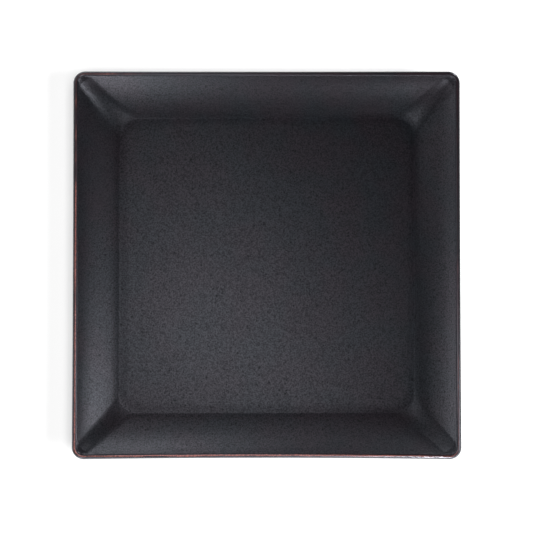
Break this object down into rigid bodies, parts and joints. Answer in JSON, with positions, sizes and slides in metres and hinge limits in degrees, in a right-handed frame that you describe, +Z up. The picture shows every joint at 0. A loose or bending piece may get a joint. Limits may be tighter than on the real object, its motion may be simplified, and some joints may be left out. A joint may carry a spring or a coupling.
{
  "type": "square dinner plate",
  "caption": "Square stoneware dinner plate with a flat well, a curved wall, a thin rounded lip and a standing foot ring, in speckled satin black glaze that breaks to rust on the lip.",
  "frame": {"origin": "centre of the foot ring's standing face, on the surface that the plate rests on", "axes": "+Z up, out of the well; X and Y run parallel to the sides; +Y points away from the person eating, so the side that bows in most is at -Y"},
  "size_m": [0.267, 0.267, 0.028],
  "materials": {
    "clay_body": "fired stoneware under the glaze, bare and slightly gritty beside the foot",
    "foot_clay": "bare fired stoneware, sponged smooth, slightly gritty",
    "face_glaze": "satin black with fine dark speckle",
    "rim_glaze": "thin glaze broken to rust brown, glossier than the face",
    "back_glaze": "satin black, slightly browner where it thins at the foot",
    "base_glaze": "satin black"
  },
  "bodies": {
    "root": {"clay_body": "clay_body", "foot_ring": "foot_clay", "face_glaze": "face_glaze", "rim_glaze": "rim_glaze", "back_glaze": "back_glaze", "base_glaze": "base_glaze"}
  },
  "joints": []
}
